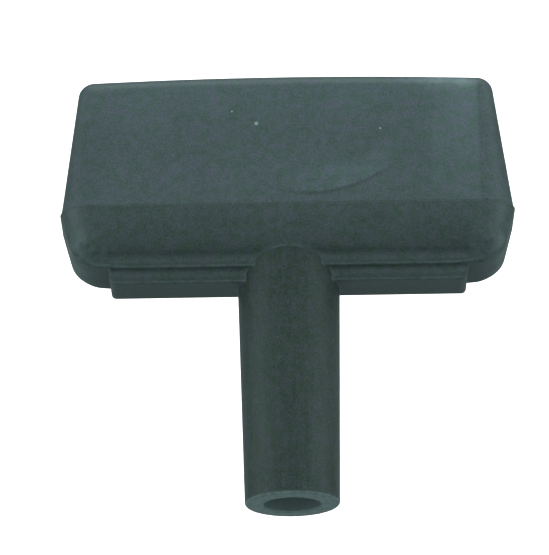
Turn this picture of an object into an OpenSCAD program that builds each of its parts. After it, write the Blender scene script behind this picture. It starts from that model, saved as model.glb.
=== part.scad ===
// Radiator bleed key with a wide T grip, a round shank and a 5 mm square socket.
// Each piece is drawn upright: X is the width of the grip, Z runs up the shank from its open end,
// and -Y is the front. lay_down() then turns the key onto its back, shank along +Y and front up.

/* [Socket] */
// Width across the flats of the square socket
socket_w = 5.1; // [4.8:0.05:5.4]
// Depth of the square socket below the lead-in
socket_depth = 12; // [8:0.5:16]
// Diameter of the round lead-in hole
lead_in_d = 7.2; // [7:0.1:7.6]
// Depth of the lead-in hole
lead_in_depth = 2; // [1.5:0.1:3]

/* [Shank] */
// Diameter of the shank at its open end
shank_end_d = 12; // [11.6:0.1:12.4]
// Diameter of the shank where it enters the grip
shank_top_d = 13; // [12.8:0.1:13.1]
// Diameter of the metal core inside the shank
core_d = 8.6; // [8.2:0.1:9]
// Rounding of the edge at the open end
shank_end_round = 0.4; // [0.2:0.1:0.6]

/* [Grip] */
// Height of the stepped underside of the grip above the open end
plinth_z = 28.4; // [27:0.2:30]
// Width of the grip at its parting line
grip_w = 57.6; // [56:0.2:60]
// Depth of the grip at its parting line
grip_t = 15.6; // [15.6:0.2:17]
// Width of the grip at its top
grip_top_w = 53.2; // [52.4:0.1:53.8]
// Height of the cap above the parting line, at the ends
cap_h = 17.8; // [15:0.1:20]
// Extra height of the crowned top in the middle
crown = 0.5; // [0.1:0.1:1]
// Radius of the upright corners at the parting line
corner_r = 4.3; // [4.1:0.1:4.5]
// Wall thickness of the grip shells
wall = 1.6; // [1.4:0.1:1.6]
// How far the rim of the base stands out past the cap
rim_lip = 0.18; // [0.1:0.02:0.3]
// Radius of the arc that the front and back of the base follow
bowl_r = 8.7; // [8.4:0.1:12]
// Inward slope of the ends of the base, in degrees
end_slope = 15; // [12:0.5:18]

/* [Stepped underside] */
// Depth of the keel below the bowl of the base
keel_t = 9.6; // [8:0.1:10.4]
// Height of the keel
keel_h = 1.7; // [1.4:0.1:2]
// Radius of the lower corners at the ends of the keel
keel_r = 3.4; // [2.8:0.1:4.4]
// Width of the plinth
plinth_w = 45.4; // [40:0.2:46]
// Depth of the plinth
plinth_t = 6.8; // [5:0.1:7]
// Height of the plinth
plinth_h = 1.6; // [1:0.1:1.8]
// Radius of the plinth's lower corners
plinth_r = 0.8; // [0.5:0.1:1]

/* [Cross pin] */
// Diameter of the steel pin through the head of the shank
pin_d = 3; // [2.5:0.1:3.2]
// Length of the pin
pin_l = 16; // [14:0.5:17]

/* [Hidden] */

slip = 0.05;                      // gap on each side of parts that slide together
cut = 1;                          // how far a cutter runs past the solid
bowl_h = 5.7;                     // height of the curved part of the base
bowl_drop = 1;                    // upright height under the parting line, before the arc starts
base_h = plinth_h + keel_h + bowl_h;
parting_z = plinth_z + base_h;
keel_z = plinth_z + plinth_h;
bowl_z = keel_z + keel_h;
cap_top_r = grip_top_w / 2 - (grip_w / 2 - corner_r);
draft = (corner_r - cap_top_r) / (cap_h - cap_top_r);
rim_half_w = grip_w / 2 + rim_lip;
rim_half_t = grip_t / 2 + rim_lip;
keel_corner_x = rim_half_w - (base_h - plinth_h - keel_r) * tan(end_slope) - keel_r / cos(end_slope);
pocket_floor_z = parting_z - 3;
pocket_w = 51.4;
pocket_t = 9.4;
pocket_r = 1.4;
tongue_h = 1.4;
tongue_w = 53.8;
tongue_t = 11.8;
tongue_r = 2.6;
tongue_break = 22;                // width of the break in the tongue that the head passes through
head_w = 18;
head_t = 11.6;
head_r = 0.8;
head_h = 5;
pin_z = pocket_floor_z + head_h / 2;
core_top_z = pocket_floor_z + head_h;
arc_steps = 16;
smooth = 96;
hull_smooth = 32;

// Points along an arc about c, from angle a0 to angle a1, on an ellipse of radii rx and ry
function arc(c, rx, ry, a0, a1) =
    [for (i = [0:arc_steps]) let (a = a0 + (a1 - a0) * i / arc_steps)
        c + [rx * cos(a), ry * sin(a)]];

function mirrored(points) =
    concat(points, [for (i = [len(points) - 1:-1:0]) [-points[i][0], points[i][1]]]);

module lay_down() {
    rotate([-90, 0, 0]) children();
}

// Runs the (y, z) outline of its 2D child along X, centred
module along_x(length) {
    rotate([90, 0, 90]) linear_extrude(length, center = true) children();
}

// Runs the (x, z) outline of its 2D child along Y, centred
module along_y(length) {
    rotate([90, 0, 0]) linear_extrude(length, center = true) children();
}

module rounded_plate(w, t, r) {
    square([w - 2 * r, t], center = true);
    square([w, t - 2 * r], center = true);
    for (x = [-1, 1], y = [-1, 1])
        translate([x * (w / 2 - r), y * (t / 2 - r)]) circle(r, $fn = smooth);
}

// The tapered, crowned block of the cap, shrunk by inset on every side but the bottom
module cap_block(inset) {
    half_w = grip_w / 2 - corner_r;
    half_t = grip_t / 2 - corner_r;
    top_z = parting_z + cap_h - inset;
    foot_r = corner_r - inset;
    top_r = cap_top_r - inset / 2;
    edge = half_w - inset / 2;
    side = half_t - inset / 2;
    hull() {
        for (x = [-half_w, half_w], y = [-half_t, half_t])
            translate([x, y, parting_z]) cylinder(r = foot_r, h = 0.01, $fn = hull_smooth);
        for (i = [-4:4], y = [-1, 1]) let (lift = crown * (1 - i * i / 16))
            translate([i * edge / 4, y * (side - lift * draft), top_z - top_r + lift])
                sphere(top_r, $fn = hull_smooth);
    }
}

module cap_rib(x, thick, foot_z) {
    intersection() {
        translate([x - thick / 2, -grip_t / 2, foot_z])
            cube([thick, grip_t, parting_z + cap_h - foot_z]);
        cap_block(wall - 0.3);
    }
}

// Upper shell of the grip: hollow, drafted, with ribs that hold the shank's head down
module grip_cap() {
    color("#2f3634") lay_down() {
        difference() {
            cap_block(0);
            translate([0, 0, -0.01]) cap_block(wall);
        }
        for (x = [-6, 6]) cap_rib(x, 1.8, core_top_z + slip);
        for (x = [-17, 17]) cap_rib(x, 1.6, parting_z + cap_h * 0.6);
    }
}

// Front outline of the base, down to the keel's underside
module base_outline() {
    corner = [keel_corner_x, keel_z + keel_r];
    polygon(mirrored(concat(
        [[rim_half_w, parting_z]],
        arc(corner, keel_r, keel_r, -end_slope, -90))));
}

// Side outline of the base: a short upright rim, the bowl's arc, a ledge and the upright faces of the keel
module base_profile() {
    centre = [rim_half_t - bowl_r, parting_z - bowl_drop];
    foot_angle = asin((bowl_h - bowl_drop) / bowl_r);
    polygon(mirrored(concat(
        [[rim_half_t, parting_z]],
        arc(centre, bowl_r, bowl_r, 0, -foot_angle),
        [[keel_t / 2, bowl_z], [keel_t / 2, keel_z]])));
}

module plinth_outline() {
    corner = [plinth_w / 2 - plinth_r, plinth_z + plinth_r];
    polygon(mirrored(concat(
        [[plinth_w / 2, keel_z + cut]],
        arc(corner, plinth_r, plinth_r, 0, -90))));
}

module base_solid() {
    intersection() {
        along_y(grip_t + cut) base_outline();
        along_x(grip_w + cut) base_profile();
        translate([0, 0, keel_z]) linear_extrude(parting_z - keel_z)
            rounded_plate(2 * rim_half_w, 2 * rim_half_t, corner_r);
    }
    along_y(plinth_t) plinth_outline();
    difference() {
        translate([0, 0, parting_z - cut]) linear_extrude(tongue_h + cut)
            rounded_plate(tongue_w, tongue_t, tongue_r);
        translate([-tongue_break / 2, -grip_t / 2, parting_z])
            cube([tongue_break, grip_t, tongue_h + cut]);
    }
}

// Lower shell of the grip: bowl, keel and plinth, a pocket for the shank's head and a locating tongue
module grip_base() {
    color("#2a302f") lay_down() difference() {
        base_solid();
        translate([0, 0, pocket_floor_z]) linear_extrude(base_h) {
            rounded_plate(pocket_w, pocket_t, pocket_r);
            rounded_plate(head_w + 2 * slip, head_t + 2 * slip, head_r);
        }
        translate([0, 0, plinth_z - cut])
            cylinder(d = shank_top_d + 2 * slip, h = base_h, $fn = smooth);
    }
}

// Round tapered sleeve with a rectangular head that the pocket of the base keeps from turning
module shank() {
    end_r = shank_end_d / 2;
    top_r = shank_top_d / 2;
    color("#2c3331") lay_down() difference() {
        union() {
            rotate_extrude($fn = smooth)
                polygon([
                    [0, 0],
                    [end_r - shank_end_round, 0],
                    [end_r, shank_end_round],
                    [top_r, plinth_z],
                    [top_r, pocket_floor_z + cut],
                    [0, pocket_floor_z + cut]]);
            translate([0, 0, pocket_floor_z]) linear_extrude(head_h)
                rounded_plate(head_w, head_t, head_r);
        }
        translate([0, 0, -cut]) cylinder(d = lead_in_d, h = lead_in_depth + 2 * cut, $fn = smooth);
        translate([0, 0, lead_in_depth]) cylinder(d = core_d, h = core_top_z, $fn = smooth);
        pin_hole();
    }
}

module pin_hole() {
    translate([-head_w, 0, pin_z]) rotate([0, 90, 0])
        cylinder(d = pin_d, h = 2 * head_w, $fn = smooth);
}

// Steel core that fills the sleeve: the square socket at its foot, the pin hole near its top
module socket_core() {
    color("silver") lay_down() difference() {
        translate([0, 0, lead_in_depth])
            cylinder(d = core_d - 0.04, h = core_top_z - lead_in_depth, $fn = smooth);
        translate([-socket_w / 2, -socket_w / 2, lead_in_depth - cut])
            cube([socket_w, socket_w, socket_depth + cut]);
        pin_hole();
    }
}

// Steel pin through the sleeve's head and the core
module cross_pin() {
    color("gray") lay_down() translate([-pin_l / 2, 0, pin_z]) rotate([0, 90, 0])
        cylinder(d = pin_d - 0.02, h = pin_l, $fn = smooth);
}

grip_cap();
grip_base();
shank();
socket_core();
cross_pin();
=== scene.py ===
"""Looks of the radiator bleed key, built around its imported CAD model.

The grip's two shells and the shank's sleeve are rebuilt as finely rounded mouldings. Each is a
distance field in millimetres (negative inside), meshed with OpenVDB and pulled onto the exact
surface. X is the grip's width, Y runs up the shank from its open end, Z comes out of the front.
"""

import math

import bpy
import numpy as np
import openvdb
from mathutils import Euler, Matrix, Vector


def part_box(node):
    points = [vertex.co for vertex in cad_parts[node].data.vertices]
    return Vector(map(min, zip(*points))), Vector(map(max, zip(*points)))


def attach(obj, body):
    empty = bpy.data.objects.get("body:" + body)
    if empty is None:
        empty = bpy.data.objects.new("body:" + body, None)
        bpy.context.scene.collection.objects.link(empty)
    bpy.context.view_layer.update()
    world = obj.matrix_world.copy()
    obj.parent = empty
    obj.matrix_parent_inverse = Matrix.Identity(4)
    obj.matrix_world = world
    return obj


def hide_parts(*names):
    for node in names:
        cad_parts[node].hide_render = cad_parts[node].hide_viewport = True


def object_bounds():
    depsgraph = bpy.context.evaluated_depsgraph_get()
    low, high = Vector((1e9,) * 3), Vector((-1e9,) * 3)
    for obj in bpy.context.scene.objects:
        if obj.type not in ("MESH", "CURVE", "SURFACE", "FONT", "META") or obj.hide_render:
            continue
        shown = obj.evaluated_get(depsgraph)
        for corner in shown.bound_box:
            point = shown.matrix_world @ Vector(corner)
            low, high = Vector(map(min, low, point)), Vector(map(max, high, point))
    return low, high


MM = 0.001

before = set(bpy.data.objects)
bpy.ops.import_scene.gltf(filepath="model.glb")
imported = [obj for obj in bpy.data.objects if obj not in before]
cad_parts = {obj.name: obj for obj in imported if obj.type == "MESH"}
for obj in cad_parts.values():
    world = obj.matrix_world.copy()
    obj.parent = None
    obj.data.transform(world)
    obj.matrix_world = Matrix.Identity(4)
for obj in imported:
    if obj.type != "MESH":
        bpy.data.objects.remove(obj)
cad_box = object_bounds()


def box_mm(node):
    low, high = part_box(node)
    return np.array(low) / MM, np.array(high) / MM


# ---------------------------------------------------------------- sizes, in mm

cap_low, cap_high = box_mm("grip_cap")
base_low, base_high = box_mm("grip_base")
_, shank_high = box_mm("shank")
core_low, core_high = box_mm("socket_core")
pin_low, pin_high = box_mm("cross_pin")

PARTING = cap_low[1]
CAP_HALF_W = cap_high[0]
CAP_HALF_T = cap_high[2]
CROWN_TOP = cap_high[1]
CROWN = 0.5  # height of the crown over the width of the grip
CORNER_R = 4.3  # upright corners at the parting line
CAP_TOP_R = 2.1  # the same corners at the top
CAP_EDGE_R = 1.6  # rounding around the top
WALL = 1.6
DRAFT = (CORNER_R - CAP_TOP_R) / (CROWN_TOP - CROWN - PARTING - CAP_TOP_R)

RIM_HALF_W = base_high[0]
RIM_HALF_T = base_high[2]
BOWL_UPRIGHT = 1.0  # under the parting line, before the arc starts
BOWL_R = 8.7  # arc of the base's front and back
BOWL_CORNER_R = CORNER_R - 0.2
END_SLOPE = math.radians(15)
PLINTH_FOOT = base_low[1]
KEEL_FOOT = PLINTH_FOOT + 1.6
BOWL_FOOT = KEEL_FOOT + 1.7
KEEL_HALF_T = 4.8
KEEL_END_R = 3.1
PLINTH_HALF_W = 22.7
PLINTH_HALF_T = 3.4
PLINTH_END_R = 0.8
EDGE_R = 0.3  # the stepped edges that catch the light
END_EDGE_R = 0.9  # the keel's lower edges at the ends of the base, where they are softer
SOFT_FROM, SOFT_TO = 20.0, 25.5  # from here to here across, those edges change from crisp to soft
NOTCH_R = 0.2  # where the plinth's ends meet the keel
SHANK_BLEND_R = 0.8  # fillet round the shank
SHANK_BLEND_SINK = 0.3  # how far under the shank's surface that fillet ends, so that the seam is crisp
STEP_BLEND_R = 1.4  # fillets under the bowl and under the keel

SHANK_END_R = 6.0
SHANK_TOP_R = 6.5
SHANK_EDGE_R = 0.4  # rounding at the open end
STEM_TOP = PARTING - 2.5  # the round stem ends inside the head
PRESS_FIT = 0.2  # the base reaches this far into the shank
LEAD_IN_R = 3.6
LEAD_IN_EDGE_R = 0.22
LEAD_IN_DEPTH = core_low[1]
CORE_BORE_R = core_high[0] + 0.02
PIN_R = pin_high[2] + 0.01
PIN_Y = (pin_low[1] + pin_high[1]) / 2

HEAD_TOP = shank_high[1]
HEAD_FOOT = PARTING - 3.0
HEAD_HALF_W = shank_high[0]
HEAD_HALF_T = 5.8
HEAD_R = 0.8  # upright corners of the head and of its seat
HEAD_EDGE_R = 0.25
HEAD_SLIP = 0.05
TONGUE_TOP = base_high[1]
TONGUE_HALF_W, TONGUE_HALF_T, TONGUE_R = 26.9, 5.9, 2.6
TONGUE_BREAK = 11.0  # half the width of the gap that the head passes through
POCKET_HALF_W, POCKET_HALF_T, POCKET_R = 25.7, 4.7, 1.4
RIBS = ((6, 0.9, HEAD_TOP + HEAD_SLIP), (17, 0.8, PARTING + 10.7))  # place, half thickness, foot
RIB_ROOT = 0.3  # how far the cap's ribs reach into its wall, and the fillet beside them

SEAM_R = 0.06  # edges at the parting line
HIDDEN_EDGE_R = 0.2  # edges of the ribs, the tongue and the pocket
FINE_EDGE_R = 0.1
HOLE_EDGE_R = 0.05


# ---------------------------------------------------------------- distance fields


def both(a, b, r=0.0):
    """Inside a and inside b, with the edge between them rounded to radius r."""
    return np.minimum(np.maximum(a, b), -r) + np.hypot(np.maximum(a + r, 0), np.maximum(b + r, 0))


def either(a, b, r=0.0):
    """Inside a or inside b, with a fillet of radius r where they meet."""
    return np.maximum(np.minimum(a, b), r) - np.hypot(np.maximum(r - a, 0), np.maximum(r - b, 0))


def without(a, b, r=0.0):
    """Inside a and outside b, with the edge between them rounded to radius r."""
    return both(a, -b, r)


def rounded_rect(u, v, half_u, half_v, r):
    """Distance to a rectangle with round corners of radius r."""
    du, dv = np.abs(u) - (half_u - r), np.abs(v) - (half_v - r)
    outside = np.hypot(np.maximum(du, 0), np.maximum(dv, 0))
    return outside + np.minimum(np.maximum(du, dv), 0) - r


def cap_block(x, y, z, inset=0.0):
    """The drafted block of the cap with its crowned, rounded top, shrunk by inset.

    The limits on shrink, r and crown only act outside the block, where the shape would turn over.
    """
    shrink = inset + np.maximum((y - PARTING) * DRAFT, -0.3)
    across = CAP_HALF_W - CORNER_R
    r = np.maximum(CORNER_R - shrink, 0.3)
    upright = rounded_rect(x, z, CAP_HALF_W - shrink, CAP_HALF_T - shrink, r)
    crown = CROWN * np.clip(1 - (x / across) ** 2, -0.2, 1)
    top = y - (CROWN_TOP - CROWN - inset + crown)
    return both(upright * math.cos(math.atan(DRAFT)), top, CAP_EDGE_R)


def cap_field(x, y, z):
    """The cap: a hollow shell with two pairs of ribs inside."""
    shell = without(cap_block(x, y, z), cap_block(x, y, z, WALL), FINE_EDGE_R)
    for place, half_t, foot in RIBS:
        rib = both(np.abs(np.abs(x) - place) - half_t, foot - y, HIDDEN_EDGE_R)
        shell = either(shell, both(rib, cap_block(x, y, z, WALL - RIB_ROOT)), RIB_ROOT)
    return both(shell, PARTING - y, SEAM_R)


def base_ends(x, y):
    """Front outline of the base: sloped ends, round lower corners, flat underside."""
    lean = RIM_HALF_W - (PARTING - y) * math.tan(END_SLOPE)
    return both((np.abs(x) - lean) * math.cos(END_SLOPE), KEEL_FOOT - y, KEEL_END_R)


def base_outside(x, y, z):
    """The base without its tongue and hollows: bowl, keel and plinth, each filleted to the next."""
    ends = base_ends(x, y)
    arc_z = np.abs(z) - (RIM_HALF_T - BOWL_R)
    arc_y = np.maximum(PARTING - BOWL_UPRIGHT - y, 0)
    bowl = both(np.hypot(np.maximum(arc_z, 0), arc_y) - BOWL_R, ends, BOWL_CORNER_R)
    bowl = both(bowl, BOWL_FOOT - y, EDGE_R)
    toward_end = np.clip((np.abs(x) - SOFT_FROM) / (SOFT_TO - SOFT_FROM), 0, 1)
    edge_r = EDGE_R + (END_EDGE_R - EDGE_R) * toward_end**2 * (3 - 2 * toward_end)
    keel = both(np.abs(z) - KEEL_HALF_T, ends, edge_r)
    plinth_end = both(np.abs(x) - PLINTH_HALF_W, PLINTH_FOOT - y, PLINTH_END_R)
    ridge = both(np.abs(z) - PLINTH_HALF_T, PLINTH_FOOT - y, EDGE_R)
    upper = both(either(bowl, keel, STEP_BLEND_R), ends, edge_r)
    along_ridge = either(upper, ridge, STEP_BLEND_R)
    stepped = both(along_ridge, either(upper, plinth_end, NOTCH_R), FINE_EDGE_R)
    return both(stepped, y - PARTING, SEAM_R)


def shank_radius(y):
    return SHANK_END_R + (SHANK_TOP_R - SHANK_END_R) * np.clip(y / PLINTH_FOOT, 0, 1)


def base_field(x, y, z):
    """The whole base. The fillet round the shank is made against a stub of the shank, then bored out."""
    radial = np.hypot(x, z) - shank_radius(y)
    stub = both(radial + SHANK_BLEND_SINK, y - PARTING)
    solid = np.maximum(either(base_outside(x, y, z), stub, SHANK_BLEND_R), y - PARTING)
    tongue = rounded_rect(x, z, TONGUE_HALF_W, TONGUE_HALF_T, TONGUE_R)
    tongue = both(tongue, y - TONGUE_TOP, HIDDEN_EDGE_R)
    tongue = both(tongue, np.maximum(HEAD_FOOT - y, TONGUE_BREAK - np.abs(x)))
    hollow = rounded_rect(x, z, POCKET_HALF_W, POCKET_HALF_T, POCKET_R)
    hollow = both(hollow, HEAD_FOOT - y, HIDDEN_EDGE_R)
    seat = rounded_rect(x, z, HEAD_HALF_W + HEAD_SLIP, HEAD_HALF_T + HEAD_SLIP, HEAD_R)
    hollow = np.minimum(hollow, both(seat, HEAD_FOOT - y))
    hollowed = without(either(solid, tongue), hollow, FINE_EDGE_R)
    return without(hollowed, radial + PRESS_FIT)


def shank_field(x, y, z):
    """The sleeve: a tapered stem with a rectangular head, bored for the lead-in, the core and the pin."""
    from_axis = np.hypot(x, z)
    stem = both(from_axis - shank_radius(y), y - STEM_TOP)
    stem = both(stem, -y, SHANK_EDGE_R)
    head = rounded_rect(x, z, HEAD_HALF_W, HEAD_HALF_T, HEAD_R)
    head = both(head, y - HEAD_TOP, HEAD_EDGE_R)
    solid = either(stem, both(head, HEAD_FOOT - y), FINE_EDGE_R)
    solid = without(solid, from_axis - LEAD_IN_R, LEAD_IN_EDGE_R)
    bore = both(from_axis - CORE_BORE_R, LEAD_IN_DEPTH - y)
    solid = without(solid, bore, HOLE_EDGE_R)
    return without(solid, np.hypot(y - PIN_Y, z) - PIN_R, HOLE_EDGE_R)


# ---------------------------------------------------------------- meshing

PITCH = 0.14  # size of the grid's cells
ADAPTIVITY = 0.02
BAND = 3  # cells of the field kept on each side of the surface
PULLS = 4  # steps that pull the points onto the exact surface
EDGE_REACH = 0.2  # how far from a point its edge attribute looks


def gradient(field, points, step):
    """The field's slope at each point, from its values one step to either side."""
    slopes = []
    for axis in range(3):
        shift = np.zeros(3)
        shift[axis] = step
        ahead, behind = points + shift, points - shift
        slopes.append((field(*ahead.T) - field(*behind.T)) / (2 * step))
    return np.stack(slopes, axis=1)


def bend(field, points, reach):
    """How sharply the surface turns at each point, per mm: over 0 on an edge, under 0 in a corner."""
    here = field(*points.T)
    total = -6 * here  # as many as the neighbours that are added next
    for axis in range(3):
        shift = np.zeros(3)
        shift[axis] = reach
        total += field(*(points + shift).T) + field(*(points - shift).T)
    return total / reach**2


def grid_mesh(field, low, high):
    """Points, triangles and quads of the field's zero surface, from a grid over the box."""
    low = low - BAND * PITCH
    counts = np.ceil((high - low) / PITCH).astype(int) + BAND + 1
    axes = [low[i] + PITCH * np.arange(counts[i]) for i in range(3)]
    values = field(*np.meshgrid(*axes, indexing="ij", sparse=True))
    values = np.clip(values, -BAND * PITCH, BAND * PITCH).astype(np.float32)
    grid = openvdb.FloatGrid(BAND * PITCH)
    grid.copyFromArray(values)
    points, triangles, quads = grid.convertToPolygons(isovalue=0, adaptivity=ADAPTIVITY)
    return low + PITCH * points.astype(float), triangles, quads


def pull(field, points):
    """The points moved onto the exact surface, each along the field's slope."""
    for _ in range(PULLS):
        slope = gradient(field, points, PITCH * 0.1)
        steepness = np.maximum((slope**2).sum(1), 0.05)
        step = np.clip(field(*points.T) / steepness, -PITCH, PITCH)
        points = points - step[:, None] * slope
    return points


def sculpt(name, field, low, high):
    """A mesh object of the field's zero surface, with exact normals and an edge attribute."""
    points, triangles, quads = grid_mesh(field, low, high)
    points = pull(field, points)
    normals = gradient(field, points, PITCH * 0.25)
    normals /= np.maximum(np.linalg.norm(normals, axis=1), 1e-6)[:, None]
    mesh = bpy.data.meshes.new(name)
    mesh.from_pydata(points * MM, [], [tuple(f) for f in (*triangles, *quads)])
    mesh.validate()
    mesh.shade_smooth()
    mesh.normals_split_custom_set_from_vertices(normals)
    edge = mesh.attributes.new("edge", "FLOAT", "POINT")
    edge.data.foreach_set("value", bend(field, points, EDGE_REACH).astype(np.float32))
    piece = bpy.data.objects.new(name, mesh)
    bpy.context.scene.collection.objects.link(piece)
    return piece


# ---------------------------------------------------------------- materials

CAP_BLACK = ((0.0108, 0.0228, 0.0195), (0.0142, 0.0197, 0.0255))  # two tints that the mottle mixes
BASE_BLACK = ((0.0098, 0.0208, 0.0150), (0.0127, 0.0177, 0.0210))
SHANK_BLACK = ((0.0090, 0.0178, 0.0120), (0.0110, 0.0152, 0.0168))
WEAR_AND_LIGHT_PALE = (0.08, 0.125, 0.125)  # pale colour of worn, nicked and dusty places, also used for painted highlights and painted light
SHEEN = (0.7, 1.0, 1.0)  # the plastic's reflections are a little blue-green
GRIP_GLOSS, GRIP_DUST = 0.3, 0.0
SHANK_GLOSS, SHANK_DUST = 0.17, 0.04
PLASTIC_ROUGHNESS, ROUGHNESS_SPREAD = 0.43, 0.16
EDGE_BEND = (0.8, 3.5)  # how sharply an edge turns before it starts to be worn pale with a painted glint, and is fully so
DUST_BEND = (-0.2, -1.5)  # the same for dust in a corner
EDGE_PALE_CLEAR = (0.3, 0.7)  # edges get no wear and no painted glint nearer than this to the parting line, and their full amount beyond it
CORE_STEEL = (0.42, 0.42, 0.41)
PIN_STEEL = (0.5, 0.5, 0.5)
TOOL_MARK_STRETCH = 30

# The marks, in mm across the key and up from the parting line. Four numbers say where a mark
# starts, from where to where it is full, and where it ends.
FLOW_X, FLOW_UP = 3.0, 1.4  # lowest point of the flow mark
FLOW_BEND = 0.034  # how fast the flow mark's line rises to either side, per mm
FLOW_ACROSS = (-3.0, 5.0, 11.0, 14.5)
LEAF_ABOVE = (0.0, 0.5, 2.2, 4.5)  # above the flow mark's line
LINE_ABOVE = (-0.45, -0.1, 0.0, 0.35)
# painted highlight: a pale strip near the right end of the front
STRIP_ACROSS = (16.0, 23.0, 24.2, 24.7)
STREAK_ACROSS, STREAK_UP = (18.0, 18.8, 19.4, 20.4), (1, 3, 10, 13)
# painted highlight on the upper right corner of the front
CORNER_ACROSS = (13, 21, 22.6, 24.8)
NICKS = ((-3.8, 11.25, 0.24), (11.95, 10.3, 0.13), (-6.9, 13.0, 0.12))  # across, up, radius


class Shader:
    """A Principled material and short calls that add its nodes."""

    def __init__(self, name):
        self.material = bpy.data.materials.new(name)
        self.material.use_nodes = True
        self.tree = self.material.node_tree
        self.surface = self.tree.nodes["Principled BSDF"]
        self.place = self.add("ShaderNodeTexCoord").outputs["Object"]

    def add(self, kind, inputs=(), **settings):
        node = self.tree.nodes.new(kind)
        for key, value in settings.items():
            setattr(node, key, value)
        for key, value in dict(inputs).items():
            self.feed(node.inputs[key], value)
        return node

    def feed(self, socket, value):
        if isinstance(value, bpy.types.NodeSocket):
            self.tree.links.new(value, socket)
        else:
            socket.default_value = value

    def math(self, operation, *values):
        node = self.add("ShaderNodeMath", operation=operation)
        for socket, value in zip(node.inputs, values):
            self.feed(socket, value)
        return node.outputs[0]

    def noise(self, size_mm, detail=2.0, stretch=(1, 1, 1)):
        """Noise from 0 to 1 with features about size_mm across, drawn out by stretch."""
        scaled = self.add(
            "ShaderNodeVectorMath",
            {0: self.place, 1: [1 / s for s in stretch]},
            operation="MULTIPLY",
        )
        inputs = {"Vector": scaled.outputs[0], "Scale": 1 / (size_mm * MM), "Detail": detail}
        return self.add("ShaderNodeTexNoise", inputs).outputs["Fac"]

    def along(self, axis):
        """The place along one axis, in mm."""
        parts = self.add("ShaderNodeSeparateXYZ", {0: self.place})
        return self.math("DIVIDE", parts.outputs[axis], MM)

    def square(self, value):
        return self.math("MULTIPLY", value, value)

    def ease(self, value, start, end, low=0.0, high=1.0):
        inputs = {"Value": value, "From Min": start, "From Max": end, "To Min": low, "To Max": high}
        return self.add("ShaderNodeMapRange", inputs, interpolation_type="SMOOTHSTEP").outputs[0]

    def window(self, value, start, full_from, full_to, end):
        """Rises from 0 at start to 1 at full_from, and falls from full_to back to 0 at end."""
        rise = self.ease(value, start, full_from)
        return self.math("MULTIPLY", rise, self.ease(value, full_to, end, 1, 0))

    def nick(self, x, above, radius):
        """A pale nick on the front, at x across the grip and so far above its parting line."""
        across = self.math("SUBTRACT", self.along(0), x)
        up = self.math("SUBTRACT", self.along(1), PARTING + above)
        squares = self.math("ADD", self.square(across), self.square(up))
        return self.ease(squares, radius**2 * 0.4, radius**2 * 1.6, 1, 0)

    def blend(self, amount, first, second):
        node = self.add("ShaderNodeMix", data_type="RGBA")
        self.feed(node.inputs["Factor"], amount)
        self.feed(node.inputs["A"], first)
        self.feed(node.inputs["B"], second)
        return node.outputs["Result"]

    def toned(self, colour, value):
        """The colour made lighter or darker: 1 leaves it as it is."""
        return self.add("ShaderNodeHueSaturation", {"Color": colour, "Value": value}).outputs[0]

    def bump(self, height, strength, depth_mm):
        inputs = {"Height": height, "Strength": strength, "Distance": depth_mm * MM}
        return self.add("ShaderNodeBump", inputs).outputs[0]

    def set(self, **values):
        for key, value in values.items():
            self.feed(self.surface.inputs[key.replace("_", " ")], value)


def plastic(name, colours, gloss, dust, marks):
    """Black moulded plastic: fine spark-eroded grain, cloudy tone, pale worn edges that also carry painted
    glints, dusty corners.

    marks(shader) gives the piece's own marks, painted light among them: a change of tone, and how much is
    made pale.
    """
    s = Shader(name)
    mottle = s.noise(1.1, 4)
    speckle = s.noise(0.24, 2)
    cloud = s.noise(5, 3)
    tone = s.math("ADD", s.ease(cloud, 0.3, 0.7, 0.92, 1.08), s.ease(mottle, 0.3, 0.7, -0.16, 0.16))
    tone = s.math("ADD", tone, s.ease(speckle, 0.3, 0.7, -0.3, 0.3))
    # The marks hold painted light and shade as well as real marks.
    mark_tone, mark_pale = marks(s)
    tinted = s.blend(s.ease(mottle, 0.35, 0.65), (*colours[0], 1), (*colours[1], 1))
    toned = s.toned(tinted, s.math("ADD", tone, mark_tone))
    # Convex edges are worn pale, and the same paleness paints the glints that the stepped edges catch.
    edge = s.add("ShaderNodeAttribute", attribute_name="edge").outputs["Fac"]
    patches = s.ease(s.noise(0.9, 4), 0.3, 0.6, 0.0, 0.1)
    wear_and_painted_light = s.math("MULTIPLY", s.ease(edge, *EDGE_BEND), patches)
    from_parting = s.math("ABSOLUTE", s.math("SUBTRACT", s.along(1), PARTING))
    wear_and_painted_light = s.math("MULTIPLY", wear_and_painted_light, s.ease(from_parting, *EDGE_PALE_CLEAR))
    settled = s.ease(s.noise(0.7, 3), 0.3, 0.6, 0.0, 0.06)
    dusty = s.math("MULTIPLY", s.ease(edge, *DUST_BEND), settled)
    wear_and_painted_light = s.math("MAXIMUM", s.math("MAXIMUM", wear_and_painted_light, dusty), mark_pale)
    s.set(Base_Color=s.blend(wear_and_painted_light, toned, (*WEAR_AND_LIGHT_PALE, 1)))
    s.set(Roughness=s.math("ADD", PLASTIC_ROUGHNESS, s.math("MULTIPLY", mottle, ROUGHNESS_SPREAD)))
    s.set(Specular_IOR_Level=gloss, Specular_Tint=(*SHEEN, 1))
    s.set(Sheen_Weight=dust, Sheen_Roughness=0.4, Sheen_Tint=(*SHEEN, 1))
    s.set(Normal=s.bump(s.noise(0.26, 3), 0.6, 0.03))
    return s.material


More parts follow.
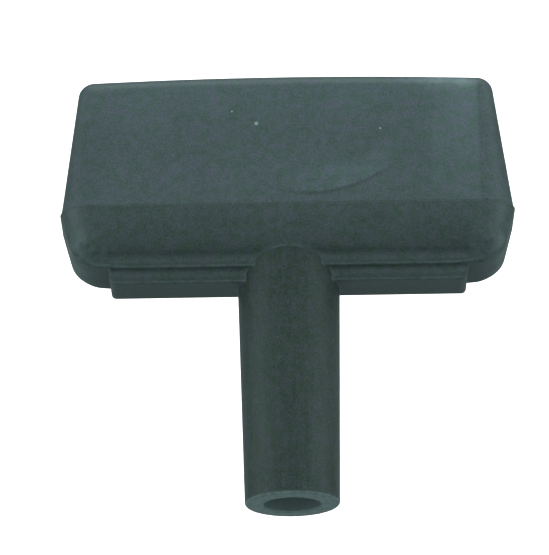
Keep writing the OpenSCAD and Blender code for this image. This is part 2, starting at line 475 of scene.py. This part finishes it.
def cap_marks(s):
    """The cap's front: a leaf-shaped flow mark, a dark line under it, a painted highlight strip, painted
    light towards the top, a painted highlight on the upper corner, nicks.
    """
    x = s.along(0)
    up = s.math("SUBTRACT", s.along(1), PARTING)
    front = s.ease(s.along(2), 0, 1)
    sag = s.math("MULTIPLY", s.square(s.math("SUBTRACT", x, FLOW_X)), FLOW_BEND)
    above = s.math("SUBTRACT", s.math("SUBTRACT", up, FLOW_UP), sag)
    width = s.window(x, *FLOW_ACROSS)
    leaf = s.math("MULTIPLY", s.window(above, *LEAF_ABOVE), width)
    leaf = s.math("MULTIPLY", leaf, s.ease(s.noise(1.5, 3, (2.5, 1, 1)), 0.3, 0.6, 0.4, 1))
    line = s.math("MULTIPLY", s.window(above, *LINE_ABOVE), width)
    tone = s.math("SUBTRACT", s.math("MULTIPLY", leaf, 0.45), s.math("MULTIPLY", line, 0.45))
    # painted highlight: a lighter strip near the right end, stronger towards the top
    strip = s.math("MULTIPLY", s.window(x, *STRIP_ACROSS), s.ease(up, 2, 12, 0.25, 0.6))
    streak = s.math("MULTIPLY", s.window(x, *STREAK_ACROSS), s.window(up, *STREAK_UP))
    tone = s.math("ADD", tone, s.math("ADD", strip, s.math("MULTIPLY", streak, 0.2)))
    # painted light: the upper part of the front lighter, as the light falls from above
    tone = s.math("ADD", tone, s.ease(up, 9, 17, 0.0, 0.3))
    tone = s.math("MULTIPLY", tone, front)
    # painted highlight on the upper right corner, mottled
    corner = s.math("MULTIPLY", s.window(x, *CORNER_ACROSS), s.ease(up, 15.0, 17.6))
    pale = s.math("MULTIPLY", corner, s.ease(s.noise(1.2, 3), 0.3, 0.6, 0.15, 0.5))
    for place in NICKS:
        pale = s.math("MAXIMUM", pale, s.nick(*place))
    return tone, s.math("MULTIPLY", pale, front)


def base_marks(s):
    """The base is darkest just under its parting line, which is painted shade, and has faint pale patches
    low at its ends, which are painted light.
    """
    # painted shade: the base darker, most of all just under the parting line
    tone = s.ease(s.along(1), BOWL_FOOT, PARTING, -0.05, -0.12)
    # painted light: pale patches low on the ends, which face the floor and the sides
    ends = s.ease(s.math("ABSOLUTE", s.along(0)), 24, 28)
    ends = s.math("MULTIPLY", ends, s.ease(s.along(1), BOWL_FOOT + 1, BOWL_FOOT + 3.5, 1, 0.1))
    pale = s.math("MULTIPLY", ends, s.ease(s.noise(1.6, 3), 0.35, 0.65, 0.05, 0.3))
    return tone, pale


def shank_marks(s):
    """The shank is worn pale round its mouth, where the paleness also stands for painted light on its end
    face, has painted light just inside it, and is faintly streaked and scuffed.
    """
    y = s.along(1)
    streaks = s.ease(s.noise(0.5, 3, (1, 14, 1)), 0.3, 0.7, -0.1, 0.1)
    # the mouth's end is worn pale, and the same paleness paints the light its end face catches from the
    # floor
    mouth = s.ease(y, 0.1, 0.45, 0.6, 0.0)
    mouth = s.math("MULTIPLY", mouth, s.ease(s.noise(0.8, 3), 0.3, 0.65, 0.6, 1))
    from_axis = s.math("SQRT", s.math("ADD", s.square(s.along(0)), s.square(s.along(2))))
    # painted light on the wall just inside the mouth
    hole = s.ease(from_axis, LEAD_IN_R + 0.05, LEAD_IN_R + 0.3, 0.45, 0)
    hole = s.math("MULTIPLY", hole, s.ease(y, LEAD_IN_DEPTH, LEAD_IN_DEPTH + 2, 1, 0))
    mouth = s.math("MAXIMUM", mouth, hole)
    scuffs = s.ease(s.noise(0.7, 4), 0.62, 0.78, 0, 0.1)
    return streaks, s.math("MAXIMUM", mouth, scuffs)


def steel(name, colour, roughness, turned_along):
    """Dull machined steel with fine tool marks, which run round the axis it was turned along."""
    s = Shader(name)
    stretch = [TOOL_MARK_STRETCH] * 3
    stretch[turned_along] = 1
    marks = s.noise(0.08, 3, stretch)
    cloud = s.noise(1.5, 3)
    toned = s.toned((*colour, 1), s.ease(cloud, 0.3, 0.7, 0.8, 1.1))
    s.set(Base_Color=toned, Metallic=1.0)
    s.set(Roughness=s.math("ADD", roughness, s.math("MULTIPLY", marks, 0.15)))
    s.set(Normal=s.bump(marks, 0.4, 0.01))
    return s.material


def paint(obj, material):
    obj.data.materials.clear()
    obj.data.materials.append(material)


# ---------------------------------------------------------------- the key


def moulding(name, node, field, material):
    """A rebuilt moulding that takes the place of its CAD node."""
    low, high = box_mm(node)
    piece = sculpt(name, field, low, high)
    paint(piece, material)
    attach(piece, "root")
    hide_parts(node)


cap_black = plastic("cap_black", CAP_BLACK, GRIP_GLOSS, GRIP_DUST, cap_marks)
base_black = plastic("base_black", BASE_BLACK, GRIP_GLOSS, GRIP_DUST, base_marks)
shank_black = plastic("shank_black", SHANK_BLACK, SHANK_GLOSS, SHANK_DUST, shank_marks)
moulding("cap_moulding", "grip_cap", cap_field, cap_black)
moulding("base_moulding", "grip_base", base_field, base_black)
moulding("shank_moulding", "shank", shank_field, shank_black)
paint(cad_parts["socket_core"], steel("core_steel", CORE_STEEL, 0.4, 1))
paint(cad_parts["cross_pin"], steel("pin_steel", PIN_STEEL, 0.3, 0))

# ---------------------------------------------------------------- floor, light and camera, in metres

FLOOR_HALF = 3.0
FLOOR_DROP = 0.2  # the floor is well below the key, so that no shadow falls beside it
FLOOR_PALE = (0.9, 0.9, 0.9, 1)
BOUNCE = (0.17, 0.22, 0.22)  # how much of its light the floor gives back to the key
SURROUND_STRENGTH = 1.45
SOFTBOX_SIZE = 0.9
SOFTBOX_DISTANCE = 1.0
SOFTBOX_AIM = Vector((0, 0.035, 0))
CAMERA_TILT = math.radians(17.6)  # from straight above, towards the shank's open end
CAMERA_ROLL = math.radians(0.92)
CAMERA_DISTANCE = 0.6
CAMERA_LENS = 305.5
CAMERA_SENSOR = 36
CAMERA_AIM = Vector((-1.8, PARTING - 7.4, 0)) * MM


def floor():
    """A plain pale floor. It hides nothing when the key is looked at from underneath."""
    level = cad_box[0].z - FLOOR_DROP
    mesh = bpy.data.meshes.new("floor")
    signs = ((-1, -1), (1, -1), (1, 1), (-1, 1))
    corners = [(x * FLOOR_HALF, y * FLOOR_HALF, level) for x, y in signs]
    mesh.from_pydata(corners, [], [(0, 1, 2, 3)])
    obj = bpy.data.objects.new("floor", mesh)
    bpy.context.scene.collection.objects.link(obj)
    s = Shader("pale_floor")
    tone = s.ease(s.noise(30, 2), 0.3, 0.7, 0.985, 1.0)
    toned = s.toned(FLOOR_PALE, tone)
    seen = s.add("ShaderNodeLightPath").outputs["Is Camera Ray"]
    s.set(Base_Color=s.blend(seen, (*BOUNCE, 1), toned), Roughness=0.9)
    from_below = s.add("ShaderNodeNewGeometry").outputs["Backfacing"]
    s.set(Specular_IOR_Level=0.1, Alpha=s.math("SUBTRACT", 1, from_below))
    paint(obj, s.material)


def softbox(name, direction, power):
    """A square area light that looks at the key from a direction, and isn't seen by the camera."""
    data = bpy.data.lights.new(name, "AREA")
    data.size = SOFTBOX_SIZE
    data.energy = power
    obj = bpy.data.objects.new(name, data)
    bpy.context.scene.collection.objects.link(obj)
    aim = Vector(direction).normalized()
    obj.location = aim * SOFTBOX_DISTANCE + SOFTBOX_AIM
    obj.rotation_euler = aim.to_track_quat("Z", "Y").to_euler()
    obj.visible_camera = False


def surroundings(strength):
    """Soft light from all round, behind which the camera sees plain white."""
    world = bpy.data.worlds.new("studio")
    world.use_nodes = True
    nodes, links = world.node_tree.nodes, world.node_tree.links
    background = nodes["Background"]
    background.inputs["Color"].default_value = (1, 1, 1, 1)
    power = nodes.new("ShaderNodeMapRange")
    power.inputs["To Min"].default_value = strength
    links.new(nodes.new("ShaderNodeLightPath").outputs["Is Camera Ray"], power.inputs["Value"])
    links.new(power.outputs[0], background.inputs["Strength"])
    bpy.context.scene.world = world


def camera():
    """The camera in front of the key, a little towards its open end."""
    data = bpy.data.cameras.new("camera")
    data.lens = CAMERA_LENS
    data.sensor_width = CAMERA_SENSOR
    data.clip_start = 0.05
    data.clip_end = 10
    obj = bpy.data.objects.new("camera", data)
    bpy.context.scene.collection.objects.link(obj)
    back = Vector((0, -math.sin(CAMERA_TILT), math.cos(CAMERA_TILT)))
    obj.location = CAMERA_AIM + back * CAMERA_DISTANCE
    turn = Euler((CAMERA_TILT, 0, 0)).to_matrix() @ Euler((0, 0, -CAMERA_ROLL)).to_matrix()
    obj.rotation_euler = turn.to_euler()
    bpy.context.scene.camera = obj


floor()
surroundings(SURROUND_STRENGTH)
softbox("window", (0, 0.95, 0.35), 7.5)
softbox("window_side", (0.7, 0.8, 0.35), 2.2)
softbox("left", (-0.95, 0, 0.3), 6.5)
softbox("right", (0.95, 0, 0.3), 5.5)
camera()
bpy.context.scene.view_settings.view_transform = "Standard"
